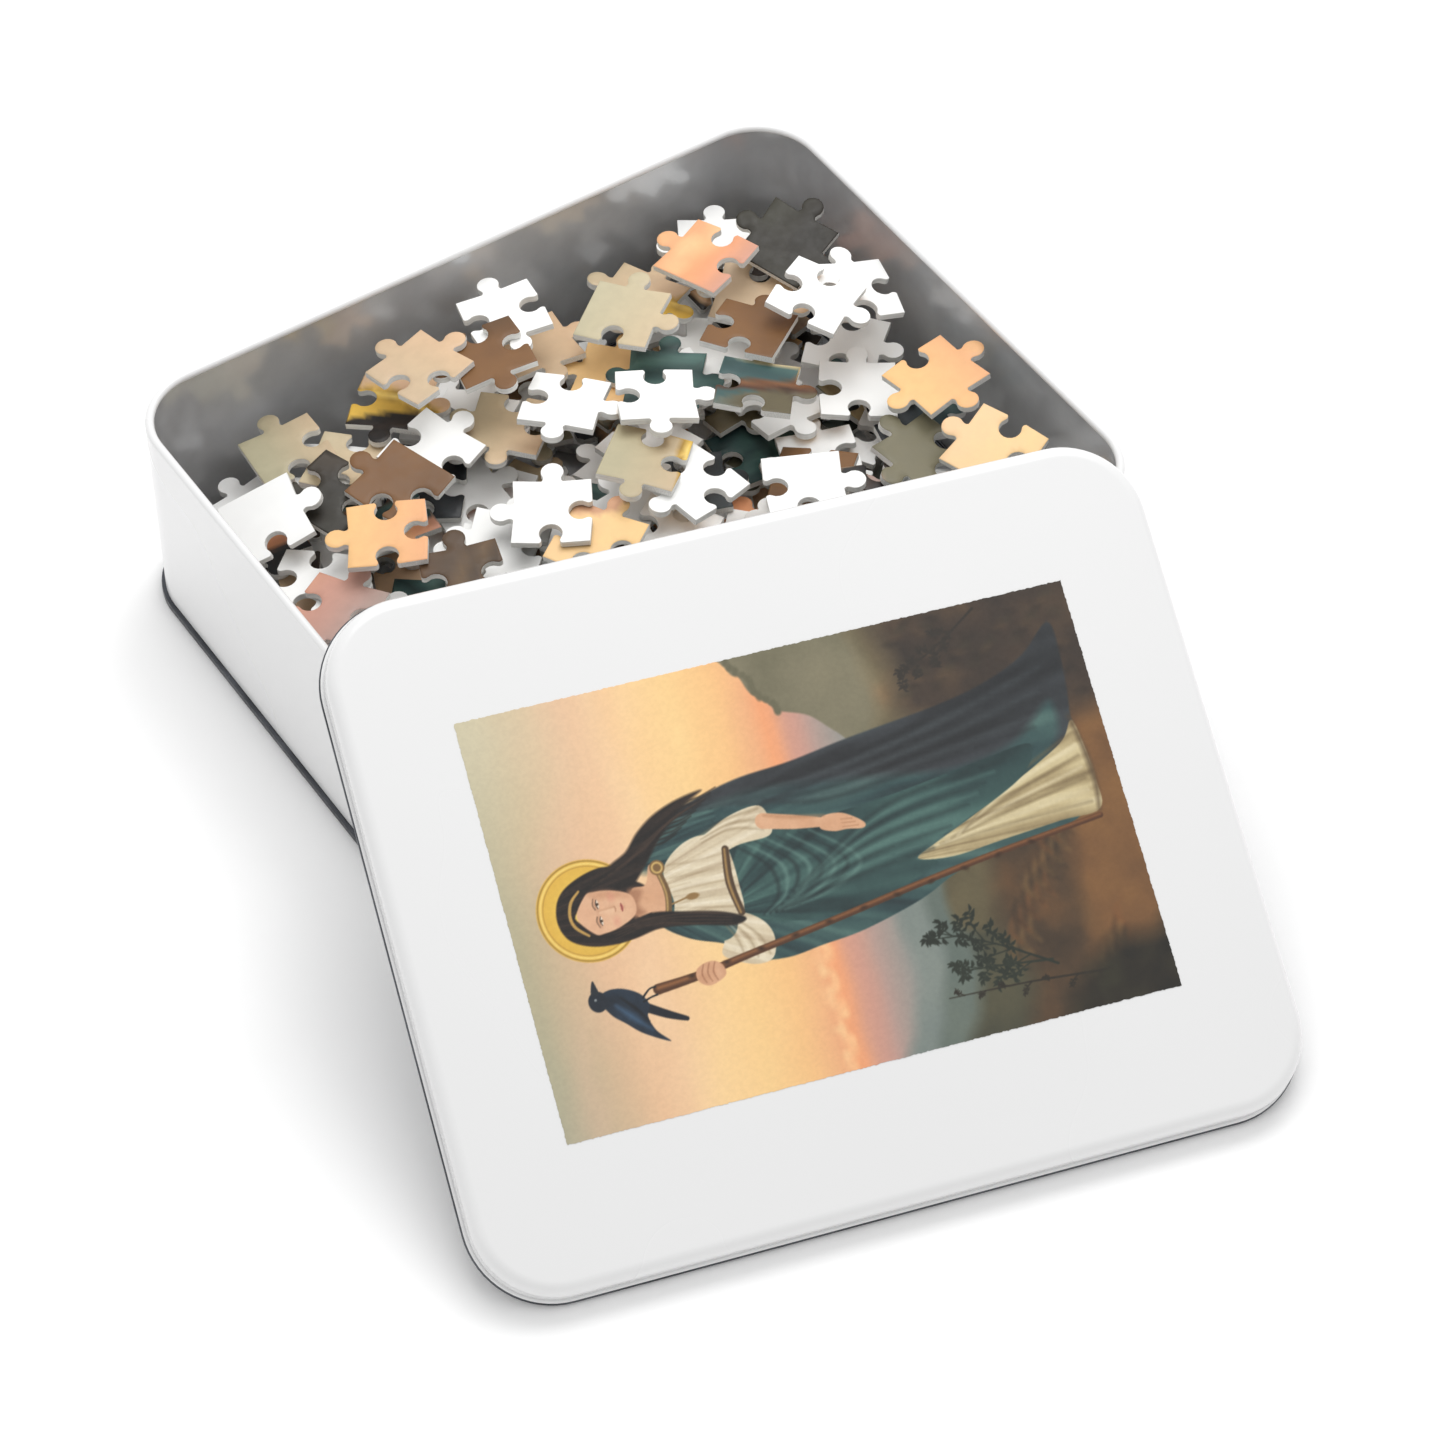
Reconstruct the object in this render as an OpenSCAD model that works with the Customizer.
// Boxed jigsaw puzzle: an open tin, a heap of loose pieces in it and the tin's lid,
// which leans on the front of the rim with its front edge on the table.
// Millimetres, +Z up. The origin is the middle of the tin's underside.

/* [Tin] */
// Outer length of the tin's wall
tin_length = 190; // [180:1:240]
// Outer width of the tin's wall
tin_width = 156; // [150:1:200]
// Height from the table to the top of the rim
tin_height = 58.4; // [57:0.1:80]
// Outer radius of the wall's corners
corner_r = 18; // [14:0.5:30]
// Thickness of the tinplate
sheet = 0.4; // [0.3:0.05:0.6]
// Diameter of the rim, rolled inwards
rim_d = 2.2; // [1.8:0.1:3]
// How far the seam round the foot stands out of the wall
seam_out = 1; // [0.8:0.1:1.6]
// Height of the seam round the foot
seam_h = 2.4; // [2:0.1:4]

/* [Lid] */
// Gap between the tin's wall and the lid's skirt, on each side
lid_gap = 0.4; // [0.3:0.05:0.8]
// Height of the lid from the foot of its hem to its top
lid_height = 9.3; // [8:0.1:16]
// Outer radius of the lid's rounded shoulder
shoulder_r = 3.2; // [2:0.1:4]
// Diameter of the hem rolled outwards at the foot of the skirt
hem_d = 1.6; // [1.4:0.1:2]
// Turn of the leaning lid about the vertical, in degrees
lid_yaw = -16.3; // [-20:0.1:-12]
// Place along X of the middle of the lid's front edge
lid_foot_x = -48; // [-55:1:-40]
// Distance from the tin's front wall to the middle of the lid's front edge
lid_foot_gap = 104; // [98:1:112]

/* [Picture] */
// Length of the picture printed on the lid
picture_length = 142.4; // [120:0.1:150]
// Width of the picture printed on the lid
picture_width = 95.8; // [80:0.1:110]
// Thickness of the print
ink = 0.1; // [0.08:0.01:0.2]

/* [Jigsaw] */
// Columns of pieces in the finished puzzle
columns = 18; // [18:1:19]
// Rows of pieces in the finished puzzle
rows = 14; // [14:1:15]
// Side of a piece without its knobs
cell = 18.8; // [15.6:0.1:19.5]
// Thickness of the chipboard
card = 1.9; // [1.5:0.1:2.3]
// Radius of a knob's head
knob_r = 2.75; // [2.4:0.05:2.9]
// Distance from the side of a piece to the centre of the knob's head
knob_reach = 3; // [2.8:0.05:3.3]
// Radius of the fillets at a knob's neck
neck_r = 1.1; // [0.9:0.05:1.2]
// How far the middle of a side is drawn in, or stands out
bow = 0.5; // [0.2:0.1:0.8]
// Play between a knob and its socket
kerf = 0.05; // [0.03:0.01:0.1]
// Seed of the heap
seed = 7; // [1:1:40]

/* [Hidden] */
$fn = 64;

// ---- values that follow from those above ----
rim_r = rim_d / 2;
hem_r = hem_d / 2;
fold_gap = 0.03;                      // play where the seam grips the wall's foot
lip = 0.5;                            // thickness of the seam's lips
lip_h = 1.2;                          // height of the inner lip
lip_foot = 0.3;                       // overlap of the seam and the base panel
seam_edge = 0.5;                      // rounding of the seam's edges
curl_end = 230;                       // where the rolled rim stops, from its outer side
curl_foot = 0.5;                      // depth of wall below the rim that the curl meets
hem_end = 118;                        // where the rolled hem stops, from its outer side
skirt_l = tin_length + 2 * (lid_gap + sheet);
skirt_w = tin_width + 2 * (lid_gap + sheet);
skirt_r = corner_r + lid_gap + sheet;
hem_y = skirt_w / 2 - sheet + hem_r;  // hem's centre line, from the lid's middle
floor_z = sheet;                      // top of the base panel
rest_gap = 0.05;                      // play where the lid lies on the rim
piece_gap = 0.1;                      // least play between two laid pieces
floor_gap = 0.2;                      // least play between a piece and the base panel
wall_gap = 0.3;                       // least play between a piece and the wall
bite = 0.05;                          // overlap of round forms that make one outline

// Lean of the lid. In the upright plane across its front edge, the hem's centre is one
// point and the rim's centre, a along and b up from it, is the other. The underside of
// the top passes the rim's radius and the play above the rim's centre.
lean_dir = [sin(lid_yaw), -cos(lid_yaw)];
lid_foot = [lid_foot_x, -tin_width / 2 - lid_foot_gap];
rim_reach = (tin_length / 2 - corner_r) * abs(lean_dir[0])
          + (tin_width / 2 - corner_r) * abs(lean_dir[1]) + corner_r - rim_r;
lean_a = lid_foot * lean_dir - rim_reach;
lean_b = tin_height - rim_r - hem_r;
lean_c = lid_height - sheet - hem_r - rim_r - rest_gap;
lid_lean = acos(lean_c / norm([lean_a, lean_b])) - atan2(lean_a, lean_b);

// ---- sections, drawn with X outwards from the wall's outer face and Y upwards ----
function arc(cx, cy, r, a0, a1, n) =
    [for (i = [0:n]) let (a = a0 + (a1 - a0) * i / n) [cx + r * cos(a), cy + r * sin(a)]];

module wall_section() polygon(concat(
    [[-sheet, lip + fold_gap], [0, lip + fold_gap]],
    arc(-rim_r, tin_height - rim_r, rim_r, 0, curl_end, 20),
    [[-sheet, tin_height - rim_d - curl_foot]]));

module seam_section() polygon(concat(
    [[-sheet - fold_gap - lip - lip_foot, 0]],
    arc(seam_out - seam_edge, seam_edge, seam_edge, -90, 0, 6),
    arc(seam_out - seam_edge, seam_h - seam_edge, seam_edge, 0, 90, 6),
    [[fold_gap, seam_h], [fold_gap, lip], [-sheet - fold_gap, lip],
     [-sheet - fold_gap, lip_h], [-sheet - fold_gap - lip, lip_h],
     [-sheet - fold_gap - lip, floor_z], [-sheet - fold_gap - lip - lip_foot, floor_z]]));

module lid_section() polygon(concat(
    arc(-shoulder_r, lid_height - shoulder_r, shoulder_r - sheet, 90, 0, 12),
    arc(hem_r - sheet, hem_r, hem_r, 180, 360 + hem_end, 20),
    arc(-shoulder_r, lid_height - shoulder_r, shoulder_r, 0, 90, 12)));

module rounded(l, w, r) {
    square([l - 2 * r, w], center = true);
    square([l, w - 2 * r], center = true);
    for (x = [-1, 1], y = [-1, 1]) translate([x * (l / 2 - r), y * (w / 2 - r)]) circle(r);
}

// Runs a section round a rounded rectangle: four straight runs and four corners.
module round_trip(l, w, r) {
    for (k = [0:3]) {
        run = k % 2 == 0 ? l : w;
        out = k % 2 == 0 ? w : l;
        rotate([0, 0, 90 * k]) {
            translate([-run / 2 + r, -out / 2, 0]) rotate([90, 0, 90])
                linear_extrude(run - 2 * r) mirror([1, 0]) children();
            translate([run / 2 - r, -out / 2 + r, 0]) rotate([0, 0, -90])
                rotate_extrude(angle = 90) translate([r, 0]) children();
        }
    }
}

module tin_wall() color("whitesmoke")
    round_trip(tin_length, tin_width, corner_r) wall_section();

module tin_base() color("dimgray") {
    round_trip(tin_length, tin_width, corner_r) seam_section();
    inset = sheet + fold_gap + lip / 2;
    linear_extrude(floor_z)
        rounded(tin_length - 2 * inset, tin_width - 2 * inset, corner_r - inset);
}

// ---- lid, drawn flat with the foot of its hem at z = 0 ----
module as_leaning()
    translate([lid_foot[0], lid_foot[1], hem_r]) rotate([0, 0, lid_yaw])
        rotate([lid_lean, 0, 0]) translate([0, hem_y, -hem_r]) children();

module lid_shell() color("white") as_leaning() {
    round_trip(skirt_l, skirt_w, skirt_r) lid_section();
    translate([0, 0, lid_height - sheet]) linear_extrude(sheet)
        rounded(skirt_l - 2 * shoulder_r, skirt_w - 2 * shoulder_r, skirt_r - shoulder_r);
}

module lid_picture() color("peru") as_leaning()
    translate([0, 0, lid_height]) linear_extrude(ink)
        square([picture_length, picture_width], center = true);

// ---- one jigsaw piece ----
// A number from 0 to 1 for each pair of whole numbers, always the same for one seed.
function pick(i, k) =
    let (x = (i * 7919 + k * 10473 + seed * 131) % 65521,
         y = (x * x * 31 + x * 17 + 7) % 65521,
         z = (y * y * 13 + y * 29 + 3) % 65521) z / 65521;

// Side of piece (c, r): 1 is a knob, -1 a socket and 0 the puzzle's straight border.
// side 0 faces +X, 1 +Y, 2 -X and 3 -Y. Neighbours get opposite answers.
function side_kind(c, r, side) =
    side == 0 ? (c == columns - 1 ? 0 : pick(c + 40 * r, 901) < 0.5 ? 1 : -1) :
    side == 1 ? (r == rows - 1 ? 0 : pick(c + 40 * r, 902) < 0.5 ? 1 : -1) :
    side == 2 ? (c == 0 ? 0 : -side_kind(c - 1, r, 0)) :
                (r == 0 ? 0 : -side_kind(c, r - 1, 1));

// Centre of a neck fillet: it crosses the knob's head and the side by a little.
neck_y = neck_r - 2 * bite;
neck_x = sqrt(pow(knob_r + neck_r - bite, 2) - pow(knob_reach - neck_y, 2));
neck_top = knob_reach - (knob_reach - neck_y) * knob_r / (knob_r + neck_r);
neck_root = bow + 0.3;                // depth of the neck's foot inside the side

// A knob that stands up from y = 0. grow makes it a socket's cut.
module knob(grow) {
    translate([0, knob_reach]) circle(knob_r + grow);
    difference() {
        translate([-neck_x, -neck_root]) square([2 * neck_x, neck_top + neck_root]);
        for (x = [-1, 1]) translate([x * neck_x, neck_y]) circle(neck_r - grow);
    }
}

module piece_outline(c, r) {
    h = cell / 2 - kerf / 2;
    kinds = [for (s = [0:3]) side_kind(c, r, s)];
    difference() {
        union() {
            polygon([for (s = [0:3]) each [
                [h * cos(90 * s) + h * sin(90 * s), h * sin(90 * s) - h * cos(90 * s)],
                [(h - bow * kinds[s]) * cos(90 * s), (h - bow * kinds[s]) * sin(90 * s)]]]);
            for (s = [0:3]) if (kinds[s] == 1)
                rotate([0, 0, 90 * s - 90]) translate([0, h - bow]) knob(0);
        }
        for (s = [0:3]) if (kinds[s] == -1)
            rotate([0, 0, 90 * s + 90]) translate([0, -h - bow]) knob(kerf);
    }
}

// ---- the heap ----
// Pieces are laid one by one, and each comes to rest just above those under it.
// A laid piece is [x, y, z, slope along X, slope along Y, yaw, face down, column, row].
count = columns * rows;
disc = max(cell / 2 + knob_reach + knob_r - bow, cell / sqrt(2)) + 3 * bite; // reach of a piece
span_x = tin_length / 2 - rim_d - disc - wall_gap;
span_y = tin_width / 2 - rim_d - disc - wall_gap;

// Pieces laid last, on top, each as [x, y, yaw, face down, column, row, slope along X,
// slope along Y]. x and y are fractions of the way from the tin's middle to the wall.
top_rows = [
    [ 0.97,  0.97, -30, 0, 14, 12,  0.00,  0.00], [-0.64,  0.82, -50, 0,  1, 12,  0.00,  0.00],
    [-1.00, -0.12, -70, 0,  9,  3,  0.00,  0.00], [ 0.02, -0.24, -55, 1, 12,  2,  0.00,  0.00],
    [ 0.97,  0.30, -48, 1,  9,  2,  0.10,  0.10], [-0.15,  0.62, -47, 0,  1, 10,  0.00,  0.00],
    [ 0.25,  0.62, -48, 0,  6,  1,  0.00,  0.05], [ 0.35,  0.45, -40, 0, 10,  6,  0.00,  0.00],
    [ 0.52, -0.28, -47, 0, 16,  3,  0.00,  0.00], [ 0.72, -0.62, -47, 0, 10,  3,  0.00,  0.00],
    [ 0.62, -0.58, -20, 0,  4,  8,  0.00,  0.00], [ 0.86,  0.02, -34, 1,  7,  3,  0.00,  0.00],
    [-0.98,  0.36, -47, 1, 10,  2,  0.00,  0.00], [-0.42,  0.10, -47, 1, 11,  1,  0.00,  0.00],
    [-0.30, -0.32, -47, 1, 12, 12,  0.00,  0.00], [ 0.50,  0.92, -61, 0,  1,  8,  0.00,  0.05],
    [-0.40,  0.98, -47, 0,  2,  8,  0.00,  0.00], [ 0.10,  0.92,  -6, 0,  1,  1,  0.00,  0.00],
    [ 0.82,  0.98, -34, 1,  8,  1,  0.15,  0.00], [-0.22, -0.16, -60, 0,  5,  3,  0.00,  0.00],
    [-0.28,  0.04, -34, 1, 13,  1,  0.00,  0.00], [-0.43,  0.62, -72, 1,  9, 11,  0.00,  0.00],
    [-0.78,  0.98,  -6, 0,  0,  3,  0.00,  0.00], [ 0.78,  0.62, -48, 0,  1,  0,  0.00,  0.00],
    [ 0.95,  0.70, -68, 0, 16,  0,  0.30,  0.35], [ 0.82, -0.50, -79, 0,  9, 12,  0.00,  0.00],
    [ 1.00, -0.25,   4, 0,  7,  2,  0.25,  0.00], [ 0.95, -0.72, -71, 0,  4,  0,  0.10,  0.00],
    [ 1.00,  0.30,-105, 1,  5,  1, -0.30,  0.00], [ 0.15, -0.14, -78, 1,  6,  2,  0.00,  0.00],
    [ 0.06,  0.04, -50, 0,  0,  6,  0.00,  0.00], [-0.02,  0.46, -47, 1,  3, 12,  0.00,  0.00],
    [ 0.22,  0.26, -29, 1,  4, 12,  0.00,  0.00], [ 0.50,  0.08, -43, 0, 12,  5,  0.00,  0.00],
    [ 0.62,  0.36, -55, 0, 17,  3,  0.00,  0.00], [ 0.84,  0.30, -61, 1,  7, 12,  0.00,  0.00],
    [ 0.68,  0.78, -71, 0,  8,  0,  0.00, -0.05], [ 0.32,  0.70, -54, 0,  0,  9,  0.00,  0.00],
    [ 0.02,  0.98, -12, 1,  5, 12,  0.00,  0.00], [-0.13,  0.80,-100, 0, 16,  4,  0.00,  0.00],
    [-0.34,  0.88,  12, 0,  1,  2,  0.00,  0.00], [-0.78,  0.64, -71, 0, 15,  0,  0.00,  0.00],
    [-0.60,  0.50,  19, 0, 17,  4,  0.00,  0.00], [-1.00,  0.66,-101, 1,  0, 13,  0.25,  0.00],
    [-1.00,  0.14, -59, 0,  9,  1,  0.00,  0.00], [-0.64, -0.06, -20, 0, 14,  4,  0.00,  0.00],
    [-0.75,  0.28, -30, 0,  7,  1,  0.00,  0.00], [ 0.41, -0.42, -27, 1,  6,  0,  0.00,  0.00]
];
tops = len(top_rows);
buried = count - tops;

// Cells of the finished puzzle that the top pieces leave, taken in a scattered order.
used = [for (t = top_rows) t[4] + columns * t[5]];
spare = [for (i = [0:count - 1]) if (len(search(i, used)) == 0) i];
step = 101;                           // shares no factor with the number left
function spare_cell(i) = spare[(i * step + 17) % len(spare)];

// Height of b's centre that clears piece a, when b is the later one. The two reaches
// overlap in a lens, and the lens lies in a rectangle about its middle.
function half_card(sx, sy) = card / 2 * sqrt(1 + sx * sx + sy * sy);
function clear_of(a, b) =
    let (d = [b[0] - a[0], b[1] - a[1]], l = norm(d))
    l >= 2 * disc ? 0 :
    let (e = l > 0.001 ? d / l : [1, 0], n = [-e[1], e[0]],
         ga = [a[3], a[4]], gb = [b[3], b[4]], dg = ga - gb,
         along = disc - l / 2, across = sqrt(disc * disc - l * l / 4))
    a[2] + ga * d / 2 + gb * d / 2 + abs(dg * e) * along + abs(dg * n) * across
        + half_card(a[3], a[4]) + half_card(b[3], b[4]) + piece_gap;

function rest_z(laid, b) =
    max(concat([floor_z + floor_gap + disc * norm([b[3], b[4]]) + half_card(b[3], b[4])],
               [for (a = laid) if (abs(a[0] - b[0]) < 2 * disc && abs(a[1] - b[1]) < 2 * disc)
                   clear_of(a, b)]));

function with_z(laid, b) = [b[0], b[1], rest_z(laid, b), b[3], b[4], b[5], b[6], b[7], b[8]];
function lowest(tries, best, i) =
    i == len(tries) ? best : lowest(tries, tries[i][2] < best[2] ? tries[i] : best, i + 1);

// A piece tries slopes round the one it came with, and keeps the one that lets it lie
// lowest, so it settles against what is under it.
tilt = 0.05;                          // step between the slopes
function settle(laid, b, i) =
    let (near = [for (a = laid) if (norm([a[0] - b[0], a[1] - b[1]]) < 2 * disc) a],
         tries = [for (u = [-2:2], v = [-2:2]) with_z(near, [b[0], b[1], 0,
             b[3] + tilt * (u + pick(i, 70) - 0.5), b[4] + tilt * (v + pick(i, 80) - 0.5),
             b[5], b[6], b[7], b[8]])])
    lowest(tries, tries[0], 1);

// A buried piece takes the lowest of a few places and settles there.
face_down = 0.52;                     // share of buried pieces that lie face down
function buried_piece(laid, i) =
    let (c = spare_cell(i),
         tries = [for (k = [0:4]) with_z(laid, [
             (2 * pick(i, 10 + k) - 1) * span_x, (2 * pick(i, 20 + k) - 1) * span_y, 0, 0, 0,
             360 * pick(i, 50), pick(i, 60) < face_down ? 1 : 0, c % columns, floor(c / columns)])])
    settle(laid, lowest(tries, tries[0], 1), i);

// A top piece stays where it is asked to lie and settles there.
function top_piece(laid, i) =
    let (t = top_rows[i])
    settle(laid, [t[0] * span_x, t[1] * span_y, 0, t[6], t[7], t[2], t[3], t[4], t[5]], i);

function lay(laid, i) =
    i == count ? laid :
    lay(concat(laid, [i < buried ? buried_piece(laid, i) : top_piece(laid, i - buried)]), i + 1);
heap = lay([], 0);

module piece(i) {
    p = heap[i];
    translate([p[0], p[1], p[2]])
        rotate(a = atan(norm([p[3], p[4]])), v = [p[4], -p[3], 0])
            rotate([180 * p[6], 0, p[5]])
                linear_extrude(card, center = true) piece_outline(p[7], p[8]);
}

// Top pieces that nothing lies on: each is a node of its own and lifts straight out.
loose = [20, 26, 27, 35, 36, 37, 40, 43, 46, 47];
// The rest are shared out by where they lie, in a grid of bins over the tin.
bins = [6, 4];
function bin_of(p) =
    min(bins[0] - 1, floor((p[0] / span_x + 1) / 2 * bins[0]))
    + bins[0] * min(bins[1] - 1, floor((p[1] / span_y + 1) / 2 * bins[1]));
still = [for (i = [0:count - 1]) if (i < buried || len(search(i - buried, loose)) == 0) i];

module loose_piece(k) color(heap[buried + loose[k]][6] == 1 ? "white" : "burlywood")
    piece(buried + loose[k]);
module heap_bin(b) color("tan") for (i = still) if (bin_of(heap[i]) == b) piece(i);

tin_wall();
tin_base();
lid_shell();
lid_picture();
for (k = [0:len(loose) - 1])
    loose_piece(k);
for (b = [0:bins[0] * bins[1] - 1])
    heap_bin(b);
